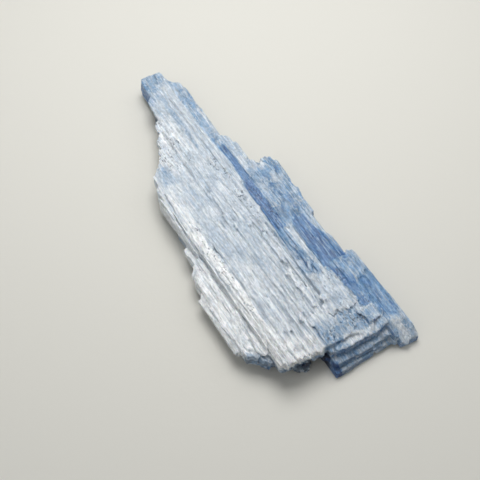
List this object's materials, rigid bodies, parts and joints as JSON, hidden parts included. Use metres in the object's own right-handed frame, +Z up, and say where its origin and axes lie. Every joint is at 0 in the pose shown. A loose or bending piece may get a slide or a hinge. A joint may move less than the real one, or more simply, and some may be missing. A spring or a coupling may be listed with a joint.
{
  "type": "kyanite blade cluster",
  "caption": "Raw kyanite: flat blue-white crystal blades grown side by side in stacked sheets, broken off in steps at the thick end and narrowing to a blunt tip.",
  "frame": {"origin": "centre of the footprint's box, at the level of the flat underside", "axes": "+Y along the blades towards the narrow tip, +X across the blades, +Z up from the resting face"},
  "size_m": [0.0214, 0.0534, 0.0046],
  "materials": {
    "kyanite": "pearly broken fibres over translucent blue blades"
  },
  "bodies": {
    "root": {"kyanite_blade_cluster": "kyanite"}
  },
  "joints": []
}
